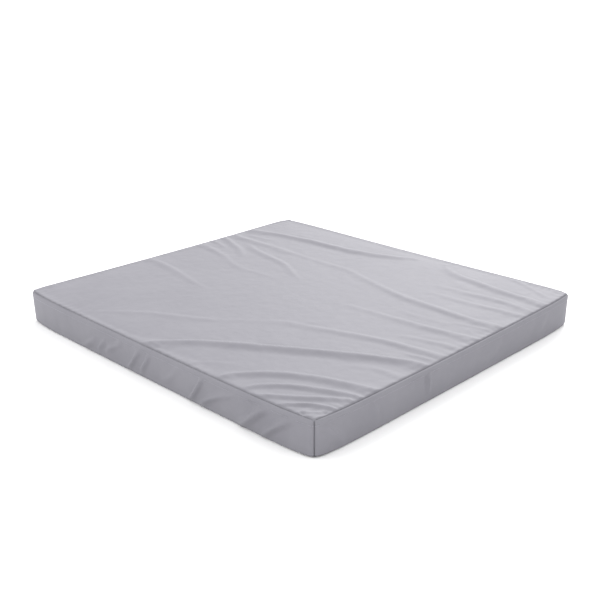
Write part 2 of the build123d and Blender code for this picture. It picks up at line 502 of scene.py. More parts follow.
def smooth_path(points: np.ndarray, steps: int = 10) -> np.ndarray:
    """A smooth line through points of any number of values each.

    Args:
        points: The points, one to a row.
        steps: How many spans each gap is divided into.

    Returns:
        The line's points, one to a row.
    """
    ends = np.vstack([2 * points[0] - points[1], points, 2 * points[-1] - points[-2]])
    line = []
    for before, start, end, after in zip(ends, ends[1:], ends[2:], ends[3:]):
        for share in np.arange(steps) / steps:
            bend = (2 * before - 5 * start + 4 * end - after) * share**2
            twist = (3 * start - before - 3 * end + after) * share**3
            line.append(0.5 * (2 * start + (end - before) * share + bend + twist))
    line.append(points[-1])
    return np.array(line)


@dataclass(frozen=True)
class Fold:
    """A ridge in slack cloth, along a smooth line.

    crest holds places along the ridge and its height there, in millimetres. left and right are the widths of
    its flanks on each side of the direction that the crest runs in.
    """

    crest: tuple[tuple[float, float, float], ...]
    left: float = 18.0
    right: float = 32.0
    sharpness: float = 1.25

    def moved(self, spread: tuple[float, float], slump: float, swell: float) -> "Fold":
        """The same fold on a sheet of another size.

        Args:
            spread: The scale of its plan, along X and Y.
            slump: How far its crest leans towards -X and -Y, for its height.
            swell: The scale of its height.

        Returns:
            The new fold.
        """
        crest = tuple(
            (x * spread[0] - slump * swell * rise, y * spread[1] - slump * swell * rise, rise * swell)
            for x, y, rise in self.crest
        )
        return replace(self, crest=crest)

    def rise(self, flat: np.ndarray) -> np.ndarray:
        """How far the fold lifts each point of the flat cloth.

        Args:
            flat: Places on the cloth, one to a row, in metres.

        Returns:
            The lift of each, in metres.
        """
        line = smooth_path(np.array(self.crest) * MM)
        ahead = np.gradient(line[:, :2], axis=0)
        ahead /= np.linalg.norm(ahead, axis=1)[:, None]
        gap = np.linalg.norm(flat[:, None, :] - line[None, :, :2], axis=2)
        nearest = gap.argmin(axis=1)
        away = flat - line[nearest, :2]
        side = ahead[nearest, 0] * away[:, 1] - ahead[nearest, 1] * away[:, 0]
        width = np.where(side > 0, self.left, self.right) * MM
        share = 1.0 - smooth(gap[np.arange(len(flat)), nearest] / width)
        return line[nearest, 2] * share**self.sharpness


def all_folds(folds: Sequence[Fold], flat: np.ndarray) -> np.ndarray:
    """The lift that a set of folds gives together, where the highest leads and the rest add a part.

    Args:
        folds: The folds.
        flat: Places on the cloth, one to a row, in metres.

    Returns:
        The lift of each place, in metres.
    """
    lifts = np.array([np.zeros(len(flat))] + [fold.rise(flat) for fold in folds])
    highest = lifts.max(axis=0)
    return highest + 0.35 * (lifts.sum(axis=0) - highest)


def waves(flat: np.ndarray, length: float, seed: int) -> np.ndarray:
    """Slow unevenness of about one unit, the same for the same seed.

    Args:
        flat: Places on the cloth, one to a row.
        length: The mean length of a wave, in metres.
        seed: Picks the directions.

    Returns:
        A value for each place.
    """
    pick = np.random.default_rng(SEED + seed)
    total = np.zeros(len(flat))
    for _ in range(7):
        angle, phase = pick.uniform(0, math.tau, 2)
        wave = math.tau / (length * pick.uniform(0.7, 1.6))
        total += np.sin(flat[:, 0] * wave * math.cos(angle) + flat[:, 1] * wave * math.sin(angle) + phase)
    return total / 2.6


# ---------------------------------------------------------------- the cover's plan and its sections
class Side(Enum):
    """A side of the pad: the way that its strip runs, and the way that it faces."""

    FRONT = ((1, 0), (0, -1))
    RIGHT = ((0, 1), (1, 0))
    BACK = ((-1, 0), (0, 1))
    LEFT = ((0, -1), (-1, 0))

    @property
    def run(self) -> np.ndarray:
        """The direction that the strip runs in."""
        return np.array(self.value[0], float)

    @property
    def outward(self) -> np.ndarray:
        """The direction that the side faces."""
        return np.array(self.value[1], float)


@dataclass(frozen=True)
class PadOutline:
    """The cover's rounded plan, which every strip and seam follows."""

    half_width: float
    half_length: float
    middle: tuple[float, float]
    height: float
    radius: float = 0.008
    drawn_in: float = 0.0090
    drawn_length: float = 0.047
    drawn_length_at_zip: float = 0.016
    corner_depth: float = 0.0100
    corner_reach: float = 0.060
    drawn_width: float = 0.120
    sag: float = 0.0030

    @classmethod
    def from_frame(cls) -> "PadOutline":
        """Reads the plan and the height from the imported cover."""
        low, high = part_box("cover_top_panel")
        middle = ((low[0] + high[0]) / 2, (low[1] + high[1]) / 2)
        return cls((high[0] - low[0]) / 2, (high[1] - low[1]) / 2, middle, high[2])

    def reach(self, side: Side) -> float:
        """From the middle out to a side."""
        return self.half_width if side.outward[0] else self.half_length

    def straight(self, side: Side) -> float:
        """The straight length of a side, between its rounded corners."""
        return 2 * ((self.half_length if side.outward[0] else self.half_width) - self.radius)

    def length(self, side: Side) -> float:
        """The length of a side from one corner seam to the next."""
        return self.straight(side) + self.radius * math.pi / 2

    def wrap(self, side: Side, along: np.ndarray, up: np.ndarray, out: np.ndarray) -> np.ndarray:
        """Places round a side.

        Args:
            side: Which side.
            along: The signed distance from the side's middle, along the outline.
            up: The height.
            out: How far outside the outline.

        Returns:
            One place to a row.
        """
        half = self.straight(side) / 2
        turn = np.clip((np.abs(along) - half) / self.radius, 0.0, None)
        run = np.clip(along, -half, half) + np.sign(along) * (self.radius + out) * np.sin(turn)
        away = self.reach(side) - self.radius + (self.radius + out) * np.cos(turn)
        plan = run[:, None] * side.run + away[:, None] * side.outward
        return np.column_stack([self.place(plan), np.broadcast_to(up, run.shape)])

    def place(self, plan: np.ndarray) -> np.ndarray:
        """Draws the plan in at the corners, where the seams pull, and moves it to the cover's middle.

        Args:
            plan: Places from the middle, one to a row.

        Returns:
            Places in the frame, one to a row.
        """
        half = np.array([self.half_width, self.half_length])
        gap = np.clip(half - np.abs(plan), 0.0, None)
        near = smooth(1.0 - gap / self.drawn_width)
        length = np.full(plan.shape, self.drawn_length)
        length[plan[:, 1] > 0, 1] = self.drawn_length_at_zip
        pull = self.drawn_in * near * np.exp(-gap[:, ::-1] / length)
        return plan - np.sign(plan) * pull + np.array(self.middle)

    def around(self, distance: np.ndarray, up: np.ndarray, out: np.ndarray) -> np.ndarray:
        """Places on the whole outline.

        Args:
            distance: How far round, counter-clockwise from the front-left corner's seam.
            up: The height.
            out: How far outside the outline.

        Returns:
            One place to a row.
        """
        lengths = [self.length(side) for side in Side]
        distance = np.mod(distance, sum(lengths))
        places = np.zeros((len(distance), 3))
        start = 0.0
        for side, length in zip(Side, lengths):
            here = (distance >= start) & (distance < start + length)
            middle = start + length / 2
            places[here] = self.wrap(side, distance[here] - middle, up[here], out[here])
            start += length
        return places

    def drawn_span(self, side: Side, start: float, end: float) -> float:
        """The cloth's length over a stretch of a side, along the drawn-in plan."""
        along = np.linspace(start, end, 200)
        level = np.zeros(len(along))
        return float(np.linalg.norm(np.diff(self.wrap(side, along, level, level), axis=0), axis=1).sum())

    def corner_press(self, plan: np.ndarray) -> np.ndarray:
        """How far the cover presses the foam down near the front-left corner."""
        away = np.hypot(plan[:, 0] + self.half_width, plan[:, 1] + self.half_length)
        return self.corner_depth * np.exp(-((away / self.corner_reach) ** 2))

    def corner_gap(self, distance: np.ndarray) -> np.ndarray:
        """How far each place along the outline is from the nearest corner's seam."""
        corners = np.cumsum([0.0] + [self.length(side) for side in Side])
        return np.abs(np.mod(distance, corners[-1])[:, None] - corners).min(axis=1)

    def drop_around(self, distance: np.ndarray) -> np.ndarray:
        """How far the rim hangs below the corners, by the distance round the outline."""
        places = self.around(distance, np.zeros(len(distance)), np.zeros(len(distance)))
        return self.rim_drop(places[:, :2] - np.array(self.middle))

    def rim_drop(self, plan: np.ndarray) -> np.ndarray:
        """How far the rim hangs below the corners at places near it, one to a row, from the middle."""
        half = np.array([self.half_width, self.half_length])
        share = np.clip(np.abs(plan) / half, 0.0, 1.0)
        gap = half - np.abs(plan)
        along = np.where(gap[:, 0] < gap[:, 1], share[:, 1], share[:, 0])
        return self.sag * (1.0 - along**2)


@dataclass
class Section:
    """A strip's section as a path of straight runs and turns, in the plane of height and outward distance."""

    out: float
    up: float
    heading: float
    points: list[tuple[float, float, float]] = field(default_factory=list)
    stops: list[float] = field(default_factory=list)
    gone: float = 0.0

    def __post_init__(self) -> None:
        """Notes the path's first point."""
        self.points.append((0.0, self.out, self.up))
        self.stops.append(0.0)

    def run(self, length: float, step: float = 0.004) -> "Section":
        """Goes straight on, with grid lines no further apart than step."""
        for distance in even_lines(0.0, length, step)[1:]:
            place = (
                self.out + distance * math.cos(self.heading),
                self.up + distance * math.sin(self.heading),
            )
            self.points.append((self.gone + distance, *place))
            self.stops.append(self.gone + distance)
        self.out, self.up = place
        self.gone += length
        return self

    def turn(self, radius: float, degrees: float, lines: int = 5) -> "Section":
        """Turns left by an angle, or right by a negative one, in so many spans."""
        angle = math.radians(degrees)
        sign = math.copysign(1.0, angle)
        centre_out = self.out - sign * radius * math.sin(self.heading)
        centre_up = self.up + sign * radius * math.cos(self.heading)
        for index in range(1, lines + 1):
            heading = self.heading + angle * index / lines
            gone = self.gone + radius * abs(angle) * index / lines
            self.out = centre_out + sign * radius * math.sin(heading)
            self.up = centre_up - sign * radius * math.cos(heading)
            self.points.append((gone, self.out, self.up))
            self.stops.append(gone)
        self.heading += angle
        self.gone += radius * abs(angle)
        return self

    def place(self, rise: np.ndarray) -> tuple[np.ndarray, np.ndarray]:
        """Outward distance and height at distances along the path."""
        gone, out, up = np.array(self.points).T
        return np.interp(rise, gone, out), np.interp(rise, gone, up)


# ---------------------------------------------------------------- cover
TOP_FOLDS = (
    Fold(((-450, 30, 3), (-410, 0, 4.5), (-355, -60, 5), (-305, -135, 5.5), (-260, -205, 6),
          (-215, -280, 6.5), (-175, -350, 6.5), (-145, -410, 6), (-125, -455, 5.5),
          (-115, -495, 4.5)), 15, 36),
    Fold(((-435, 275, 0.8), (-375, 205, 1.3), (-330, 140, 1.5), (-285, 50, 1.6), (-250, -10, 1.0),
          (-200, -70, 0.8), (-160, -120, 1.2), (-140, -180, 2), (-115, -250, 2.6), (-95, -310, 3),
          (-80, -370, 3.4), (-70, -430, 3.6), (-60, -495, 3)), 18, 28),
    Fold(((-450, -225, 2.5), (-420, -235, 3.5), (-385, -260, 4.5), (-350, -300, 5), (-320, -350, 5),
          (-300, -400, 5), (-285, -450, 4.5), (-275, -495, 4)), 14, 26),
    Fold(((-445, -300, 2.4), (-410, -315, 3.6), (-375, -355, 4.2), (-350, -400, 4.6), (-330, -445, 4.4),
          (-318, -495, 3.4)), 12, 17),
    Fold(((-450, -335, 2.8), (-430, -360, 3.6), (-400, -400, 4.2), (-370, -440, 4.2), (-345, -480, 3.4),
          (-338, -495, 2.8)), 12, 17),
    Fold(((-450, -400, 2.8), (-424, -420, 4.4), (-402, -446, 4.6), (-390, -490, 3.2)), 12, 14),
    Fold(((-450, -453, 3.6), (-430, -459, 5.2), (-415, -474, 5.2), (-409, -495, 3.6)), 12, 11),
    Fold(((-440, -130, 1), (-405, -180, 1.2), (-385, -225, 0.6)), 14, 24),
    Fold(((-250, -370, 0.5), (-225, -400, 1.1), (-205, -440, 1.5), (-198, -490, 1.4)), 15, 22),
    Fold(((-110, -420, 0.8), (-98, -455, 1.8), (-88, -495, 1.8)), 9, 12),
    Fold(((-38, -370, 0.8), (-22, -420, 1.5), (-12, -460, 1.4), (-5, -495, 1.2)), 12, 18),
    Fold(((12, -130, 0.6), (22, -200, 1.2), (28, -270, 2), (35, -330, 2.6), (42, -390, 3), (52, -440, 3.2),
          (62, -495, 3)), 16, 30),
    Fold(((75, -250, 0.6), (75, -320, 1.1), (85, -400, 1.1), (90, -450, 0.9)), 16, 22),
    Fold(((222, 495, 3), (218, 430, 3), (217, 360, 2.8), (217, 300, 2.5), (213, 240, 2.2), (210, 180, 1.5),
          (208, 120, 1.5), (210, 60, 1.6), (205, 10, 1.6), (192, -40, 1.8), (178, -90, 2), (168, -140, 2.4),
          (158, -190, 2.8), (152, -250, 3.4), (150, -310, 3.6), (147, -370, 3.8), (147, -430, 3.8),
          (155, -495, 3.2)), 22, 34),
    Fold(((100, -410, 0.8), (112, -445, 1.5), (125, -490, 1.5)), 12, 14),
    Fold(((222, -250, 0.6), (225, -320, 1.2), (230, -380, 1.8), (240, -430, 2.2), (247, -495, 2)), 14, 22),
    Fold(((275, -230, 0.8), (280, -300, 1.6), (288, -360, 2.4), (292, -410, 2.8), (288, -450, 2.6),
          (278, -495, 2)), 18, 24),
    Fold(((425, -140, 1.5), (400, -165, 2.5), (378, -210, 3.4), (368, -270, 4), (357, -330, 4),
          (350, -390, 4), (347, -440, 3.6), (338, -495, 3)), 20, 30),
    Fold(((445, -350, 1.5), (425, -395, 2), (405, -440, 2), (385, -490, 1.5)), 16, 20),
    Fold(((298, 495, 3.5), (310, 440, 4), (322, 390, 4.5), (332, 330, 4.8), (340, 270, 5), (343, 210, 5),
          (348, 150, 4.8), (356, 100, 4.5), (370, 50, 4), (388, 0, 3.2), (408, -40, 2)), 20, 42),
    Fold(((250, 495, 1), (252, 440, 1), (255, 380, 0.6)), 14, 16),
    Fold(((98, 495, 2), (90, 450, 2.2), (78, 400, 2), (62, 350, 1.6), (42, 310, 1.2), (30, 260, 1.2),
          (28, 200, 1.2), (32, 140, 1), (35, 100, 0.5)), 20, 26),
    Fold(((142, 495, 1.5), (135, 460, 1.6), (120, 420, 0.8)), 12, 16),
    Fold(((186, 495, 3), (172, 455, 2.6), (155, 415, 2.2), (132, 365, 1.6), (105, 325, 0.8)), 16, 22),
    Fold(((182, 385, 1), (168, 350, 1.8), (155, 300, 2), (145, 245, 2), (135, 195, 1.8), (115, 150, 1.6),
          (92, 110, 1.2), (70, 65, 0.8)), 16, 26),
    Fold(((-85, 495, 1.8), (-90, 440, 2.2), (-98, 390, 2.2), (-108, 340, 2), (-120, 290, 1.8),
          (-132, 240, 1.4), (-140, 190, 0.8), (-145, 140, 0.4)), 18, 30),
)


@dataclass
class TopSheet:
    """The slack top panel: sewn down all round, puffed over the foam, and lying in folds."""

    outline: PadOutline
    fabric: bpy.types.Material
    seam_inset: float = 0.0050
    groove: float = 0.0042
    edge_radius: float = 0.0046
    crown: float = 0.0015
    free_reach: float = 0.016
    stiff_reach: float = 0.004
    rim_reach: float = 0.030
    short_wave: float = 0.0003
    long_wave: float = 0.0005
    foam_reach: float = 0.035
    slack: float = 0.020
    step: float = 0.0052
    fine_step: float = 0.0034
    fine_reach: float = 0.060
    thickness: float = 0.0006
    edge_lines: tuple[float, ...] = (0.0, 0.0004, 0.0010, 0.0019, 0.0031, 0.0048, 0.0080, 0.0125)
    pinned: float = 0.006
    frames: int = 5
    weight: float = 0.04
    rim_press: float = 0.0030
    pucker: float = 0.0019
    pucker_length: float = 0.021
    pucker_reach: float = 0.020
    tuck_radius: float = 0.035
    tuck_width: float = 0.0062
    tuck_depth: float = 0.0054
    slump: float = 1.87
    spread: tuple[float, float] = (0.976, 0.962)
    swell: float = 1.15

    def lines(self, half: float) -> list[float]:
        """Grid lines that crowd towards the seams."""
        inner = half - self.edge_lines[-1]
        coarse = inner - self.fine_reach
        near, far = even_lines(-inner, -coarse, self.fine_step), even_lines(coarse, inner, self.fine_step)
        middle = near[:-1] + even_lines(-coarse, coarse, self.step) + far[1:]
        edge = [half - inset for inset in self.edge_lines[:-1]]
        return [-place for place in edge] + middle + edge[::-1]

    def halves(self) -> tuple[float, float]:
        """Half the width and half the length, between the seams."""
        return self.outline.half_width - self.seam_inset, self.outline.half_length - self.seam_inset

    def inset_of(self, flat: np.ndarray) -> np.ndarray:
        """Each place's distance from the nearest seam."""
        half_x, half_y = self.halves()
        return np.minimum(half_x - np.abs(flat[:, 0]), half_y - np.abs(flat[:, 1]))

    def round_corners(self, flat: np.ndarray) -> np.ndarray:
        """Draws the square corners in to the seam's round ones."""
        radius = self.outline.radius - self.seam_inset
        centre = np.array(self.halves()) - radius
        past = np.clip(np.abs(flat) - centre, 0.0, None)
        longest = past.max(axis=1)
        length = np.maximum(np.linalg.norm(past, axis=1), 1e-9)
        corner = (past > 0).all(axis=1)
        share = np.where(corner, longest / length, 1.0)
        return np.sign(flat) * (np.minimum(np.abs(flat), centre) + past * share[:, None])

    def lift(self, flat: np.ndarray) -> np.ndarray:
        """The height of the sheet above the seam's groove, with its folds."""
        inset = self.inset_of(flat)
        edge = np.sqrt(1.0 - (1.0 - np.clip(inset / self.edge_radius, 0.0, 1.0)) ** 2)
        half_x, half_y = self.halves()
        crown = (1.0 - (flat[:, 0] / half_x) ** 2) * (1.0 - (flat[:, 1] / half_y) ** 2)
        free = smooth(inset / self.free_reach) * 0.75 + smooth(inset / self.stiff_reach) * 0.25
        uneven = self.short_wave * waves(flat, 0.09, 1) + self.long_wave * waves(flat, 0.3, 2)
        folds = all_folds([fold.moved(self.spread, self.slump, self.swell) for fold in TOP_FOLDS], flat)
        rim = self.outline.rim_drop(flat) * np.exp(-inset / self.rim_reach)
        return self.groove * edge + self.crown * crown + free * (folds + uneven) - rim - self.tuck(flat)

    def tuck(self, flat: np.ndarray) -> np.ndarray:
        """The depth of the arc that is tucked in behind the front-left corner."""
        half_x, half_y = self.halves()
        reach = np.hypot(flat[:, 0] + half_x, flat[:, 1] + half_y) - self.tuck_radius
        held = smooth(self.inset_of(flat) / self.pinned)
        return self.tuck_depth * np.exp(-((reach / self.tuck_width) ** 2)) * held

    def puckers(self, flat: np.ndarray) -> np.ndarray:
        """Short ripples where the cloth is gathered into the seams."""
        half_x, half_y = self.halves()
        total = np.zeros(len(flat))
        edges = ((half_y + flat[:, 1], flat[:, 0], 3), (half_y - flat[:, 1], flat[:, 0], 4))
        edges += ((half_x + flat[:, 0], flat[:, 1], 5), (half_x - flat[:, 0], flat[:, 1], 6))
        for inset, along, seed in edges:
            line = np.column_stack([along, np.zeros(len(along))])
            drift = 0.010 * waves(line, 0.12, seed)
            strength = 0.35 + 0.65 * smooth(0.5 + 0.7 * waves(line, 0.2, seed + 10))
            ripple = 0.5 + 0.5 * np.sin((along + drift) * math.tau / self.pucker_length)
            reach = np.exp(-inset / self.pucker_reach) * smooth(inset / 0.003)
            total += self.pucker * strength * ripple * reach
        return total

    def build(self) -> bpy.types.Object:
        """Makes the sheet, lets it settle on the foam, and gathers its edges."""
        half_x, half_y = self.halves()
        cloth = flat_grid(self.lines(half_x), self.lines(half_y))
        seam_height = self.outline.height - self.groove

        def drape(places: np.ndarray) -> np.ndarray:
            """Rounds the corners and lifts the folds."""
            flat = places[:, :2]
            plan = self.outline.place(self.round_corners(flat))
            return np.column_stack([plan, seam_height + self.lift(flat)])

        reshape(cloth, drape)
        sheet = make_piece(cloth, "top_sheet")
        self.settle(sheet)
        self.gather(sheet)
        thicken(sheet, self.thickness)
        dress(sheet, self.fabric, "cover_fabric", "mattress", "cover_top_panel")
        flat_size = (2 * half_x + self.slack, 2 * half_y + self.slack)
        return sheet

    def foam_top(self, places: np.ndarray) -> np.ndarray:
        """The foam's top under the sheet, pressed down along its rim."""
        flat = places[:, :2]
        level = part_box("foam_castellated_insert")[1][2]
        press = self.outline.rim_drop(flat) + self.rim_press + self.outline.corner_press(flat)
        press = press * np.exp(-self.inset_of(flat) / self.foam_reach)
        return np.column_stack([self.outline.place(flat), level - press])

    def settle(self, sheet: bpy.types.Object) -> None:
        """Runs a short cloth simulation, with the sewn edge held and the foam underneath."""
        half_x, half_y = self.halves()
        support_grid = flat_grid(even_lines(-half_x, half_x, 0.015), even_lines(-half_y, half_y, 0.015))
        reshape(support_grid, self.foam_top)
        support = make_piece(support_grid, "foam_support")
        support.modifiers.new("support", "COLLISION")
        support.collision.thickness_outer = 0.0005
        flat = self.flat_places(sheet)
        held = sheet.vertex_groups.new(name="seam")
        indices = np.flatnonzero(self.inset_of(flat) < self.pinned)
        held.add([int(index) for index in indices], 1.0, "REPLACE")
        cloth = sheet.modifiers.new("cloth", "CLOTH")
        nature = {"quality": 8, "mass": 0.15, "air_damping": 2.0, "vertex_group_mass": held.name}
        nature |= {"tension_stiffness": 40.0, "compression_stiffness": 40.0}
        nature |= {"shear_stiffness": 20.0, "bending_stiffness": 6.0}
        for name, value in nature.items():
            setattr(cloth.settings, name, value)
        cloth.settings.effector_weights.gravity = self.weight
        cloth.collision_settings.distance_min = 0.0005
        cloth.collision_settings.use_self_collision = False
        cloth.point_cache.frame_start = 1
        cloth.point_cache.frame_end = self.frames
        scene = bpy.context.scene
        for number in range(1, self.frames + 1):
            scene.frame_set(number)
        freeze(sheet)
        scene.frame_set(1)
        sheet.vertex_groups.clear()
        bpy.data.objects.remove(support)

    @staticmethod
    def flat_places(sheet: bpy.types.Object) -> np.ndarray:
        """Each vertex's place on the flat cloth, from the cut UV map."""
        corners = np.empty(len(sheet.data.loops) * 2)
        sheet.data.uv_layers["cut"].data.foreach_get("uv", corners)
        owners = np.empty(len(sheet.data.loops), int)
        sheet.data.loops.foreach_get("vertex_index", owners)
        flat = np.zeros((len(sheet.data.vertices), 2))
        flat[owners] = corners.reshape(-1, 2)
        return flat

    def gather(self, sheet: bpy.types.Object) -> None:
        """Adds the ripples along the seams to the settled sheet."""
        count = len(sheet.data.vertices)
        places = np.empty(count * 3)
        sheet.data.vertices.foreach_get("co", places)
        places = places.reshape(count, 3)
        places[:, 2] += self.puckers(self.flat_places(sheet))
        sheet.data.vertices.foreach_set("co", places.ravel())
        sheet.data.update()


LEFT_FOLDS = (
    Fold(((-70, 8, 0.5), (-55, 25, 1.4), (-35, 52, 1.2), (-25, 72, 0.4)), 8, 10),
    Fold(((-22, 14, 0.4), (-10, 32, 1.2), (5, 56, 1.3), (12, 74, 0.4)), 8, 10),
    Fold(((146, 8, 1.0), (160, 24, 1.6), (176, 50, 1.6), (188, 76, 1.0)), 7, 8),
    Fold(((180, 8, 0.8), (205, 30, 1.6), (245, 54, 1.4), (285, 70, 0.5)), 10, 13),
    Fold(((300, 6, 1.0), (325, 30, 2.3), (350, 56, 2.4), (375, 78, 1.0)), 11, 17),
    Fold(((362, 6, 0.8), (385, 30, 1.8), (415, 54, 1.8), (445, 74, 0.8)), 11, 14),
    Fold(((-150, 26, 0.4), (-130, 42, 1.1), (-95, 64, 0.6)), 10, 13),
    Fold(((-245, 10, 0.5), (-220, 26, 1.0), (-195, 42, 0.5)), 10, 13),
    Fold(((-185, 16, 0.4), (-172, 34, 1.0), (-155, 54, 0.4)), 9, 11),
    Fold(((60, 20, 0.2), (85, 40, 0.7), (105, 62, 0.2)), 10, 13),
)
FRONT_FOLDS = (
    Fold(((-131, 84, 1.5), (-133, 66, 1.8), (-131, 46, 1.2), (-127, 24, 0.3)), 18, 7),
    Fold(((-436, 74, 1.2), (-418, 52, 1.4), (-398, 32, 1.0), (-380, 14, 0.3)), 12, 22),
    Fold(((-305, 70, 0.2), (-292, 46, 0.6), (-284, 24, 0.2)), 14, 20),
    Fold(((60, 16, 0.2), (95, 38, 0.5), (125, 62, 0.2)), 18, 22),
    Fold(((270, 20, 0.2), (300, 40, 0.5), (322, 64, 0.2)), 18, 22),
)
RIGHT_FOLDS = (
    Fold(((-360, 10, 0.6), (-345, 34, 1.6), (-322, 66, 0.8)), 14, 20),
    Fold(((-120, 18, 0.3), (-95, 40, 1.0), (-60, 66, 0.4)), 14, 18),
    Fold(((150, 8, 0.6), (168, 34, 1.7), (190, 72, 0.8)), 12, 16),
    Fold(((330, 14, 0.4), (360, 40, 1.2), (398, 66, 0.4)), 16, 20),
)
BACK_FOLDS = (
    Fold(((-250, 44, 0.1), (-235, 58, 0.3), (-225, 72, 0.2)), 14, 18),
    Fold(((140, 42, 0.1), (158, 58, 0.3), (176, 74, 0.2)), 14, 18),
)


@dataclass
class StripShape:
    """How the side strips stand: pulled in at their seams and eased out between them."""

    outline: PadOutline
    bulge: float = 0.0008
    fold_spread: tuple[float, float] = (0.98, 0.886)
    fold_swell: float = 4.6
    seam_depth: float = 0.0050
    seam_half: float = 0.0030
    pull_depth: float = 0.0018
    pull_half: float = 0.0120
    tip_drop: float = 0.0022
    tip_reach: float = 0.010
    foot_lift: float = 0.0030
    foot_reach: float = 0.030
    corner_ease: float = 0.05
    corner_stiff: float = 0.012
    uneven: float = 0.00035

    def shape(
        self,
        side: Side,
        along: np.ndarray,
        out: np.ndarray,
        up: np.ndarray,
        folds: Sequence[Fold],
        bulge: float,
    ) -> np.ndarray:
        """Places on a side's cloth.

        Args:
            side: Which side.
            along: The signed distance from the side's middle.
            out: The section's outward distance there.
            up: The section's height there.
            folds: The side's folds.
            bulge: How far the middle of the side eases out.

        Returns:
            One place to a row.
        """
        height = self.outline.height
        level = np.clip(up / height, 0.0, 1.0)
        half = self.outline.length(side) / 2
        corner = half - np.abs(along)
        flat = np.column_stack([along, up])
        upright = smooth(up / 0.010) * smooth((height - 0.008 - up) / 0.010)
        ease = bulge * np.sin(level * math.pi) * smooth(corner / self.corner_ease)
        pinch = self.seam_depth * np.exp(-((corner / self.seam_half) ** 2))
        pinch = pinch + self.pull_depth * np.exp(-((corner / self.pull_half) ** 2))
        free = upright * smooth(corner / self.corner_stiff)
        uneven = self.uneven * waves(flat, 0.06, 20 + self.seed(side))
        folds = [fold.moved(self.fold_spread, 0.0, self.fold_swell) for fold in folds]
        out = out + ease - pinch + free * (all_folds(folds, flat) + uneven)
        foot = self.foot_lift * np.exp(-corner / self.foot_reach)
        out = out - 0.5 * foot * (1.0 - level) ** 2
        tip = self.tip_drop * np.exp(-corner / self.tip_reach)
        sag = self.outline.sag * (1.0 - np.clip(np.abs(along) / half, 0.0, 1.0) ** 2)
        up = up + foot * (1.0 - level) ** 3 - (tip + sag) * level**3
        return self.outline.wrap(side, along, up, out)

    @staticmethod
    def seed(side: Side) -> int:
        """A number for each side, for its own unevenness."""
        return list(Side).index(side)


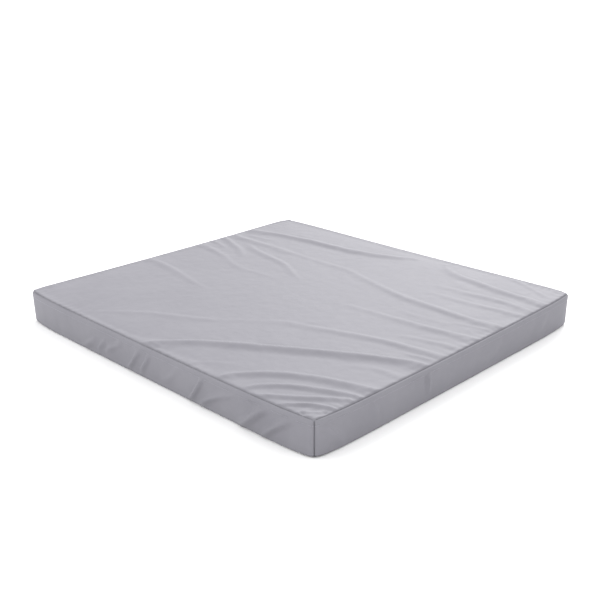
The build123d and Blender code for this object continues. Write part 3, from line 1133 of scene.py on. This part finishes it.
@dataclass
class SideStrips:
    """The side strips: front, left and right in one piece each, and the back round the zip's slot."""

    shape: StripShape
    fabric: bpy.types.Material
    foot_radius: float = 0.0035
    step_radius: float = 0.0030
    step_angle: float = 20.0
    step_below: float = 0.0120
    edge_radius: float = 0.0040
    edge_angle: float = 70.0
    edge_drop: float = 0.0008
    lip_radius: float = 0.0011
    lip_angle: float = 95.0
    lip_depth: float = 0.0016
    slot_radius: float = 0.0015
    clearance: float = 0.0008
    thickness: float = 0.0006
    step: float = 0.0042
    back_bulge: float = 0.0002
    seam_lines: tuple[float, ...] = (0.0, 0.0006, 0.0013, 0.0021, 0.0031, 0.0045, 0.0070, 0.0105)

    def foot(self) -> Section:
        """The start of a section that comes up from the base seam."""
        return Section(-self.foot_radius, self.clearance, 0.0).turn(self.foot_radius, 90.0)

    def over_edge(self, section: Section) -> Section:
        """Takes a section up the side, over the rolled allowance and down into the top seam."""
        top = self.shape.outline.height
        section.run(top - self.step_below - section.up, 0.0042)
        section.turn(self.step_radius, -self.step_angle, 3).turn(self.step_radius, self.step_angle, 3)
        drop = self.edge_radius * math.sin(math.radians(self.edge_angle)) + self.edge_drop
        section.run(top - drop - section.up, 0.002)
        section.turn(self.edge_radius, self.edge_angle, 7)
        return section.turn(self.lip_radius, self.lip_angle, 4).run(self.lip_depth, 0.001)

    def columns(self, start: float, end: float) -> list[float]:
        """Grid lines along a strip that crowd towards its two ends."""
        first = [start + gap for gap in self.seam_lines[:-1]]
        last = [end - gap for gap in self.seam_lines[:-1]]
        middle = even_lines(start + self.seam_lines[-1], end - self.seam_lines[-1], self.step)
        return first + middle + last[::-1]

    def strip(
        self,
        name: str,
        side: Side,
        section: Section,
        start: float,
        end: float,
        folds: Sequence[Fold],
        bulge: float,
    ) -> bpy.types.Object:
        """Makes one strip.

        Args:
            name: The piece's name.
            side: The side that it lies on.
            section: Its section.
            start: Where it starts, along the side.
            end: Where it ends.
            folds: Its folds.
            bulge: How far its middle eases out.

        Returns:
            The strip, with its thickness.
        """
        cloth = flat_grid(self.columns(start, end), section.stops)

        def hang(places: np.ndarray) -> np.ndarray:
            """Bends the flat strip to its section and round the outline."""
            out, up = section.place(places[:, 1])
            return self.shape.shape(side, places[:, 0], out, up, folds, bulge)

        return make_cloth(cloth, name, hang, self.thickness)

    def build(self) -> None:
        """Makes all the strips."""
        whole = {Side.FRONT: FRONT_FOLDS, Side.LEFT: LEFT_FOLDS, Side.RIGHT: RIGHT_FOLDS}
        for side, folds in whole.items():
            name = side.name.lower()
            half = self.shape.outline.length(side) / 2
            section = self.over_edge(self.foot())
            piece = self.strip(f"side_strip_{name}", side, section, -half, half, folds, self.shape.bulge)
            dress(piece, self.fabric, "cover_fabric", "mattress", f"cover_side_{name}")
            2 * half
        self.build_back()

    def build_back(self) -> None:
        """Makes the back side's strips above, below and beside the zip's slot."""
        half = self.shape.outline.length(Side.BACK) / 2
        slot_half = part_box("cover_side_back_upper")[1][0]
        slot_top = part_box("cover_side_back_upper")[0][2]
        slot_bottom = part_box("cover_side_back_lower")[1][2]
        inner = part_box("cover_side_back_upper")[0][1]
        depth = self.shape.outline.half_length + self.shape.outline.middle[1] - inner
        lip = depth - self.slot_radius
        upper = Section(-depth, slot_top, 0.0).run(lip, 0.002).turn(self.slot_radius, 90.0, 4)
        self.over_edge(upper)
        lower = self.foot()
        lower.run(slot_bottom - self.slot_radius - lower.up, 0.003)
        lower.turn(self.slot_radius, 90.0, 4).run(lip, 0.002)
        for name, section in (("upper", upper), ("lower", lower)):
            title = f"side_strip_back_{name}"
            piece = self.strip(title, Side.BACK, section, -slot_half, slot_half, BACK_FOLDS, self.back_bulge)
            dress(piece, self.fabric, "cover_fabric", "mattress", f"cover_side_back_{name}")
        for name, sign in (("left", 1), ("right", -1)):
            ends = sorted((sign * slot_half, sign * half))
            section = self.over_edge(self.foot())
            piece = self.strip(f"zip_end_tab_{name}_cloth", Side.BACK, section, *ends, (), self.back_bulge)
            dress(piece, self.fabric, "cover_fabric", "mattress", f"zip_end_tab_{name}")
            width = self.shape.outline.drawn_span(Side.BACK, *ends) + self.shape.seam_depth


@dataclass
class BaseSheet:
    """The flat base panel, sewn in at the foot of the strips."""

    outline: PadOutline
    fabric: bpy.types.Material
    seam_inset: float = 0.0040
    seam_lift: float = 0.0008
    seam_reach: float = 0.004
    corner_lift: float = 0.0030
    corner_reach: float = 0.024
    step: float = 0.020
    thickness: float = 0.0006

    def build(self) -> bpy.types.Object:
        """Makes the panel."""
        sizes = {"seam_inset": self.seam_inset, "step": self.step, "fine_step": self.step}
        shape = TopSheet(self.outline, self.fabric, **sizes)
        half_x, half_y = shape.halves()
        cloth = flat_grid(shape.lines(half_x), shape.lines(half_y))

        def lay(places: np.ndarray) -> np.ndarray:
            """Rounds the corners and lifts them and the seam a little."""
            flat = places[:, :2]
            inset = shape.inset_of(flat)
            corner = np.hypot(half_x - np.abs(flat[:, 0]), half_y - np.abs(flat[:, 1]))
            height = self.seam_lift * np.exp(-inset / self.seam_reach)
            height = height + self.corner_lift * np.exp(-corner / self.corner_reach)
            return np.column_stack([self.outline.place(shape.round_corners(flat)), height])

        sheet = make_cloth(cloth, "base_sheet", lay, self.thickness, turned=True)
        dress(sheet, self.fabric, "base_fabric", "mattress", "cover_base_panel")
        2 * half_x
        2 * half_y
        return sheet


# ---------------------------------------------------------------- foam core
@dataclass
class FoamCore:
    """The base slab, the four walls on it and the cut insert, pressed to the cover's shape."""

    outline: PadOutline
    firm: bpy.types.Material
    soft: bpy.types.Material
    edge: float = 0.009
    corner: float = 0.018
    cell_edge: float = 0.003
    slice: float = 0.030
    press: float = 0.0012
    press_reach: float = 0.035
    across: int = 12
    along: int = 14
    cut: float = 0.003
    cut_share: float = 0.47

    def fit(self, places: np.ndarray) -> np.ndarray:
        """Draws the foam in at the corners and presses its rim down, as the cover does."""
        plan = places[:, :2] - np.array(self.outline.middle)
        half = np.array([self.outline.half_width, self.outline.half_length])
        inset = (half - np.abs(plan)).min(axis=1)
        level = places[:, 2] / self.outline.height
        drop = (self.outline.rim_drop(plan) + self.press) * np.exp(-inset / self.press_reach)
        drop = drop + self.outline.corner_press(plan)
        return np.column_stack([self.outline.place(plan), places[:, 2] - drop * level**4])

    @staticmethod
    def round_off(shape: bmesh.types.BMesh, edges: list[bmesh.types.BMEdge], radius: float) -> None:
        """Rounds some of a block's edges."""
        bmesh.ops.bevel(
            shape, geom=edges, offset=radius, segments=4, profile=0.5, affect="EDGES", material=-1
        )

    def slices(self, shape: bmesh.types.BMesh, low: Vector, high: Vector) -> None:
        """Cuts a block across, so that it can bend."""
        for axis in (0, 1):
            normal = Vector((float(axis == 0), float(axis == 1), 0.0))
            for place in even_lines(low[axis], high[axis], self.slice)[1:-1]:
                parts = shape.verts[:] + shape.edges[:] + shape.faces[:]
                bmesh.ops.bisect_plane(shape, geom=parts, plane_co=normal * place, plane_no=normal)

    def block(self, node: str) -> None:
        """Makes one plain foam piece from its node's box."""
        low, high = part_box(node)
        shape = bmesh.new()
        bmesh.ops.create_cube(shape, size=1.0)
        bmesh.ops.scale(shape, vec=high - low, verts=shape.verts)
        bmesh.ops.translate(shape, vec=(low + high) / 2, verts=shape.verts)
        upright = [edge for edge in shape.edges if abs(edge.verts[0].co.z - edge.verts[1].co.z) > self.edge]
        self.round_off(shape, upright, self.corner)
        rims = [edge for edge in shape.edges if edge.calc_face_angle() > math.radians(80.0)]
        self.round_off(shape, rims, self.edge)
        self.slices(shape, low, high)
        reshape(shape, self.fit)
        piece = make_piece(shape, f"{node}_block")
        dress(piece, self.firm, "firm_foam", "mattress", node)

    def cell_lines(self, low: float, high: float, cells: int) -> list[float]:
        """The edges of the cells along one direction, with the cuts between them."""
        lines = [low]
        for index in range(1, cells):
            middle = low + (high - low) * index / cells
            lines += [middle - self.cut / 2, middle + self.cut / 2]
        return [*lines, high]

    def insert(self) -> None:
        """Makes the insert, with its top cut into cells."""
        node = "foam_castellated_insert"
        low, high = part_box(node)
        depth = (high[2] - low[2]) * self.cut_share
        columns = self.cell_lines(low[0], high[0], self.across)
        rows = self.cell_lines(low[1], high[1], self.along)
        shape = flat_grid(columns, rows)
        floor = high[2] - depth
        bmesh.ops.translate(shape, vec=(0, 0, floor), verts=shape.verts)
        rim = [edge for edge in shape.edges if edge.is_boundary]
        wide = self.cut * 2
        cells = [face for face in shape.faces if min(edge.calc_length() for edge in face.edges) > wide]
        skirt = bmesh.ops.extrude_edge_only(shape, edges=rim)["geom"]
        hem = [part for part in skirt if isinstance(part, bmesh.types.BMVert)]
        bmesh.ops.translate(shape, vec=(0, 0, low[2] - floor), verts=hem)
        border = [part for part in skirt if isinstance(part, bmesh.types.BMEdge) and part.is_boundary]
        bmesh.ops.contextual_create(shape, geom=border)
        raised = bmesh.ops.extrude_discrete_faces(shape, faces=cells)["faces"]
        tops = {vert for face in raised for vert in face.verts}
        bmesh.ops.translate(shape, vec=(0, 0, depth), verts=list(tops))
        bmesh.ops.recalc_face_normals(shape, faces=shape.faces)
        worn = {edge for face in raised for edge in face.edges}
        self.round_off(shape, list(worn), self.cell_edge)
        piece = make_piece(shape, "castellated_insert")
        dress(piece, self.soft, "soft_foam", "mattress", node)

    def build(self) -> None:
        """Makes every foam piece."""
        for node in ("foam_base", *(f"foam_side_wall_{side.name.lower()}" for side in Side)):
            self.block(node)
        self.insert()


# ---------------------------------------------------------------- bindings, zip and flap
@dataclass
class SeamBindings:
    """Folded tape over the seam allowances, inside the cover."""

    outline: PadOutline
    tape: bpy.types.Material
    out: float = -0.0016
    pinch: float = 0.0062
    pinch_half: float = 0.0110
    width: float = 0.0094
    thickness: float = 0.0009
    low: float = 0.0026
    high: float = 0.0738
    corner_reach: float = 0.014
    gap: float = 0.0005
    tape_width: float = 0.010
    step: float = 0.006
    joined: float = 0.00001

    def band(self, name: str, start: float, length: float, low: float, high: float) -> bpy.types.Object:
        """Makes a length of tape round the outline.

        Args:
            name: The piece's name.
            start: Where it starts, from the front-left corner's seam.
            length: Its length.
            low: Its lower edge's height.
            high: Its upper edge's height.

        Returns:
            The tape, with its thickness.
        """
        cloth = flat_grid(even_lines(0.0, length, self.step), even_lines(low, high, 0.005))

        def follow(places: np.ndarray) -> np.ndarray:
            """Bends the flat tape round the outline."""
            distance = places[:, 0] + start
            level = places[:, 1] / self.outline.height
            up = places[:, 1] - self.outline.drop_around(distance) * level**3
            pinch = self.pinch * np.exp(-((self.outline.corner_gap(distance) / self.pinch_half) ** 2))
            return self.outline.around(distance, up, self.out - pinch)

        reshape(cloth, follow)
        bmesh.ops.remove_doubles(cloth, verts=cloth.verts, dist=self.joined)
        piece = make_piece(cloth, name)
        thicken(piece, self.thickness)
        return piece

    def build(self) -> None:
        """Makes the two long bindings and the four at the corners."""
        lengths = [self.outline.length(side) for side in Side]
        whole = sum(lengths)
        for name, low in (("base", self.low), ("top", self.high - self.width)):
            piece = self.band(f"{name}_binding_tape", 0.0, whole, low, low + self.width)
            dress(piece, self.tape, "binding_tape", "mattress", f"{name}_seam_binding")
        low, high = self.low + self.width + self.gap, self.high - self.width - self.gap
        flat_size = (2 * self.corner_reach, high - low)
        corners = ("front_left", "front_right", "back_right", "back_left")
        for number, corner in enumerate(corners):
            start = sum(lengths[:number]) - self.corner_reach
            piece = self.band(f"corner_binding_tape_{corner}", start, 2 * self.corner_reach, low, high)
            dress(piece, self.tape, "binding_tape", "mattress", f"corner_seam_binding_{corner}")


@dataclass
class Zip:
    """The zip chain along the back: two tapes, two coils, the stops, the slider and its pull."""

    outline: PadOutline
    tape: bpy.types.Material
    coil: bpy.types.Material
    metal: bpy.types.Material
    tape_thickness: float = 0.0006
    inside_coil: float = 0.0030
    pitch: float = 0.00135
    wire: float = 0.00033
    turn_sides: int = 8
    wire_sides: int = 5
    soft_edge: float = 0.00018

    def build_tape(self, name: str) -> None:
        """Makes one tape, which follows the back panel."""
        low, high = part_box(f"zip_tape_{name}")
        bottom = low[2] - (self.inside_coil if name == "upper" else 0.0)
        top = high[2] + (self.inside_coil if name == "lower" else 0.0)
        cloth = flat_grid(even_lines(low[0], high[0], 0.008), even_lines(bottom, top, 0.0025))
        middle = (low[1] + high[1]) / 2 + self.tape_thickness / 2

        def stand(places: np.ndarray) -> np.ndarray:
            """Stands the tape up behind the slot, facing +Y."""
            plan = np.column_stack([places[:, 0], np.full(len(places), middle - self.outline.middle[1])])
            return np.column_stack([self.outline.place(plan), places[:, 1]])

        piece = make_cloth(cloth, f"woven_zip_tape_{name}", stand, self.tape_thickness, turned=True)
        dress(piece, self.tape, "zip_tape", "mattress", f"zip_tape_{name}")
        top - bottom

    def build_coil(self, name: str, shift: float) -> None:
        """Makes one coil as a helix of round wire.

        Args:
            name: upper or lower.
            shift: Its start along X, so that the two coils' turns fall between each other's.
        """
        low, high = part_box(f"zip_coil_{name}")
        centre = (low + high) / 2
        reach_y = (high[1] - low[1]) / 2 - self.wire
        reach_z = (high[2] - low[2]) / 2 - self.wire
        shape = bmesh.new()
        start = Matrix.Translation((low[0] + self.wire + shift, 0.0, reach_z))
        section = start @ Matrix.Rotation(math.radians(90.0), 4, "X")
        bmesh.ops.create_circle(shape, segments=self.wire_sides, radius=self.wire, matrix=section)
        bmesh.ops.spin(
            shape,
            geom=shape.verts[:] + shape.edges[:],
            cent=(0.0, 0.0, 0.0),
            axis=(1.0, 0.0, 0.0),
            dvec=(self.pitch / self.turn_sides, 0.0, 0.0),
            angle=math.tau,
            steps=self.turn_sides,
        )
        bmesh.ops.recalc_face_normals(shape, faces=shape.faces)

        def flatten(places: np.ndarray) -> np.ndarray:
            """Flattens the turn and moves it to its place behind the slot."""
            deep = places[:, 1] * reach_y / reach_z + centre[1]
            return np.column_stack([places[:, 0], deep, places[:, 2] + centre[2]])

        reshape(shape, flatten)
        piece = make_piece(shape, f"moulded_coil_{name}")
        turns = piece.modifiers.new("turns", "ARRAY")
        turns.count = int((high[0] - low[0] - 2 * self.wire - self.pitch) / self.pitch)
        turns.use_relative_offset = False
        turns.use_constant_offset = True
        turns.constant_offset_displace = (self.pitch, 0.0, 0.0)
        turns.use_merge_vertices = True
        turns.merge_threshold = 0.00002
        freeze(piece)
        self.close_ends(piece)
        dress(piece, self.coil, "zip_coil", "mattress", f"zip_coil_{name}")

    def close_ends(self, piece: bpy.types.Object) -> None:
        """Closes the two cut ends of a coil's wire."""
        wire = bmesh.new()
        wire.from_mesh(piece.data)
        bmesh.ops.holes_fill(wire, edges=wire.edges, sides=self.wire_sides)
        bmesh.ops.recalc_face_normals(wire, faces=wire.faces)
        wire.to_mesh(piece.data)
        wire.free()

    def build(self) -> None:
        """Makes the chain and finishes the hard parts."""
        for name, shift in (("upper", 0.0), ("lower", self.pitch / 2)):
            self.build_tape(name)
            self.build_coil(name, shift)
        hard = {
            "zip_top_stops": (self.coil, "zip_coil"),
            "zip_bottom_stop": (self.coil, "zip_coil"),
            "zip_slider": (self.metal, "slider_metal"),
            "zip_pull_tab": (self.metal, "slider_metal"),
        }
        for node, (material, slot) in hard.items():
            piece = bpy.data.objects[node]
            piece.data.materials.clear()
            piece.data.materials.append(material)
            soften(piece, self.soft_edge)


@dataclass
class ZipFlap:
    """The cloth flap over the zip: sewn down along its top, and bound along its lower edge."""

    fabric: bpy.types.Material
    tape: bpy.types.Material
    thickness: float = 0.0006
    stand_off: float = 0.0003
    ripple: float = 0.0022
    bend: float = 0.0018
    bound_thickness: float = 0.0009
    tape_thickness: float = 0.00054

    def hang(self, x: np.ndarray, z: np.ndarray, top: float, low: float) -> np.ndarray:
        """How far the flap stands off the panel behind it, more so towards its free edge."""
        share = smooth((top - z) / (top - low))
        line = np.column_stack([x, np.zeros(len(x))])
        wave = 0.5 + 0.5 * np.clip(waves(line, 0.16, 31), -1.0, 1.0)
        return self.stand_off + share * self.ripple * wave

    def build(self) -> None:
        """Makes the flap and its bound edge."""
        strip_low, strip_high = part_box("zip_flap_seam_strip")
        edge_low, edge_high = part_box("zip_flap_edge_binding")
        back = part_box("zip_flap")[0][1]
        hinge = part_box("zip_flap")[1][2]
        columns = even_lines(strip_low[0], strip_high[0], 0.008)
        rows = even_lines(edge_low[2] + 0.001, hinge - self.bend, 0.004)[:-1]
        rows += even_lines(hinge - self.bend, hinge + 2 * self.bend, 0.0005)[:-1]
        rows += even_lines(hinge + 2 * self.bend, strip_high[2], 0.0022)
        cloth = flat_grid(columns, rows)

        def drape(places: np.ndarray) -> np.ndarray:
            """Stands the flap up behind the pad, facing +Y, with gentle waves."""
            x, z = places[:, 0], places[:, 1]
            out = self.hang(x, z, hinge, edge_low[2])
            return np.column_stack([x, back + self.thickness + out, z])

        piece = make_cloth(cloth, "flap_cloth", drape, self.thickness, turned=True)
        freeze(piece)
        dress(piece, self.fabric, "cover_fabric", None, "zip_flap", "zip_flap_seam_strip")
        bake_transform(piece)
        self.bind_edge(columns, edge_low[2], edge_high[2], back, hinge)

    def bind_edge(self, columns: list[float], low: float, high: float, back: float, hinge: float) -> None:
        """Folds a tape over the flap's lower edge.

        Args:
            columns: Where its cross lines stand.
            low: The height of its fold.
            high: The height of its two edges.
            back: The y of the flap's inner face.
            hinge: The height that the flap hangs from.
        """
        gap = self.thickness / 2 + self.bound_thickness / 2
        path = Section(-gap, high, math.radians(-90.0))
        path.run(high - low - gap, 0.002).turn(gap, 180.0, 6).run(high - low - gap, 0.002)
        cloth = flat_grid(columns, path.stops)

        def fold(places: np.ndarray) -> np.ndarray:
            """Folds the flat tape about the flap's edge, which it follows."""
            across, up = path.place(places[:, 1])
            x = places[:, 0]
            middle = back + self.thickness / 2 + self.hang(x, up, hinge, low)
            return np.column_stack([x, middle + across, up])

        piece = make_cloth(cloth, "flap_binding_tape", fold, self.tape_thickness, turned=True)
        dress(piece, self.tape, "binding_tape", "zip_flap", "zip_flap_edge_binding")
        columns[-1] - columns[0]


@dataclass
class Stitching:
    """Rows of stitches, each a small swollen loop of thread that lies half sunk in the cloth."""

    outline: PadOutline
    thread: bpy.types.Material
    pitch: float = 0.0042
    length: float = 0.0030
    width: float = 0.00075
    below_rim: float = 0.0118
    proud: float = 0.0004
    flap_heights: tuple[float, ...] = (0.0565, 0.0600)
    flap_end: float = 0.003
    flap_proud: float = 0.0016

    def row(self, shape: bmesh.types.BMesh, places: np.ndarray) -> None:
        """Sews stitches between each place of a line and the next.

        Args:
            shape: The mesh that they are added to.
            places: The line's places, one to a row, one pitch apart.
        """
        for start, end in zip(places[:-1], places[1:]):
            ahead = Vector(end - start)
            turn = ahead.to_track_quat("X", "Z").to_matrix().to_4x4()
            size = Matrix.Diagonal((self.length / 2, self.width / 2, self.width / 2, 1.0))
            middle = Matrix.Translation(Vector((start + end) / 2))
            bmesh.ops.create_icosphere(shape, subdivisions=1, radius=1.0, matrix=middle @ turn @ size)

    def build_rim(self) -> None:
        """Sews the row all round, just under the rolled allowance."""
        whole = sum(self.outline.length(side) for side in Side)
        distance = np.array(even_lines(0.0, whole, self.pitch))
        up = self.outline.height - self.below_rim - self.outline.drop_around(distance)
        shape = bmesh.new()
        self.row(shape, self.outline.around(distance, up, np.full(len(distance), self.proud)))
        piece = make_piece(shape, "rim_stitches")
        dress(piece, self.thread, "cover_fabric", "mattress")

    def build_flap(self) -> None:
        """Sews the rows that hold the flap's strip."""
        low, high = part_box("zip_flap_seam_strip")
        shape = bmesh.new()
        x = np.array(even_lines(low[0] + self.flap_end, high[0] - self.flap_end, self.pitch))
        for height in self.flap_heights:
            line = [x, np.full(len(x), low[1] + self.flap_proud), np.full(len(x), height)]
            self.row(shape, np.column_stack(line))
        piece = make_piece(shape, "flap_stitches")
        dress(piece, self.thread, "cover_fabric", "mattress")


# ---------------------------------------------------------------- studio
@dataclass
class Studio:
    """A pale floor, soft even light and the camera."""

    aim: tuple[float, float, float] = (0.0357, 0.0259, 0.040)
    azimuth: float = -45.12
    elevation: float = 20.75
    roll: float = -0.54
    distance: float = 2.2250
    lens: float = 53.87
    sky: float = 1.42
    suns: tuple[tuple[str, float, float, float, float], ...] = (
        ("low_right", 30.0, 30.0, 2.9, 32.0),
        ("left_fill", 128.0, 18.0, 0.6, 26.0),
    )
    floor_size: float = 80.0
    floor_tones: tuple[Colour, Colour] = ((0.91, 0.91, 0.91), (0.93, 0.93, 0.93))

    def camera(self) -> None:
        """Places the camera."""
        turn, tilt = math.radians(self.azimuth), math.radians(self.elevation)
        ahead = Vector((-math.sin(turn) * math.cos(tilt), math.cos(turn) * math.cos(tilt), -math.sin(tilt)))
        data = bpy.data.cameras.new("camera")
        data.lens = self.lens
        data.clip_end = 200.0
        camera = bpy.data.objects.new("camera", data)
        bpy.context.scene.collection.objects.link(camera)
        level = ahead.to_track_quat("-Z", "Y").to_matrix().to_4x4()
        rolled = level @ Matrix.Rotation(math.radians(self.roll), 4, "Z")
        camera.matrix_world = Matrix.Translation(Vector(self.aim) - ahead * self.distance) @ rolled
        bpy.context.scene.camera = camera

    def sun(self, name: str, azimuth: float, elevation: float, strength: float, spread: float) -> None:
        """Adds a soft distant light.

        Args:
            name: Its name.
            azimuth: Where it shines from, in degrees from +X towards +Y.
            elevation: How high it stands, in degrees.
            strength: How bright it is.
            spread: How wide it looks, in degrees.
        """
        data = bpy.data.lights.new(name, "SUN")
        data.energy = strength
        data.angle = math.radians(spread)
        light = bpy.data.objects.new(name, data)
        bpy.context.scene.collection.objects.link(light)
        turn, tilt = math.radians(azimuth), math.radians(elevation)
        towards = Vector((math.cos(turn) * math.cos(tilt), math.sin(turn) * math.cos(tilt), math.sin(tilt)))
        light.matrix_world = towards.to_track_quat("Z", "Y").to_matrix().to_4x4()

    def build(self) -> None:
        """Makes the floor, the light and the camera."""
        scene = bpy.context.scene
        scene.view_settings.view_transform = "Standard"
        world = bpy.data.worlds.new("soft_white")
        world.use_nodes = True
        sky = world.node_tree.nodes["Background"]
        sky.inputs["Color"].default_value = (1.0, 1.0, 1.0, 1.0)
        sky.inputs["Strength"].default_value = self.sky
        scene.world = world
        for sun in self.suns:
            self.sun(*sun)
        floor_grid = bmesh.new()
        bmesh.ops.create_grid(floor_grid, x_segments=1, y_segments=1, size=self.floor_size / 2)
        floor = make_piece(floor_grid, "floor")
        shader = Shader("pale_floor")
        pale = shader.mix(shader.noise(3.0), *self.floor_tones)
        floor.data.materials.append(shader.finish(Base_Color=pale, Roughness=0.9))
        self.camera()


# ---------------------------------------------------------------- assembly
def main() -> None:
    """Builds the studio and then every sub-assembly."""
    logging.basicConfig(level=logging.INFO, format="%(message)s")
    Studio().build()
    outline = PadOutline.from_frame()
    fabric = CoatedFabric().build()
    base_fabric = CoatedFabric("base_fabric", (0.13, 0.13, 0.145), (0.11, 0.11, 0.125), 0.6, 0.3).build()
    tape = WovenTape().build()
    TopSheet(outline, fabric).build()
    SideStrips(StripShape(outline), fabric).build()
    BaseSheet(outline, base_fabric).build()
    firm = OpenFoam("firm_foam", (0.62, 0.67, 0.71), (0.45, 0.50, 0.55)).build()
    FoamCore(outline, firm, OpenFoam("soft_foam").build()).build()
    SeamBindings(outline, tape).build()
    zip_tape = WovenTape("zip_tape", (0.040, 0.040, 0.048), (0.022, 0.022, 0.028), 0.0008, 0.003).build()
    Zip(outline, zip_tape, MouldedPlastic().build(), LacqueredMetal().build()).build()
    ZipFlap(fabric, tape).build()
    stitching = Stitching(outline, Thread().build())
    stitching.build_rim()
    stitching.build_flap()


if __name__ == "__main__":
    main()
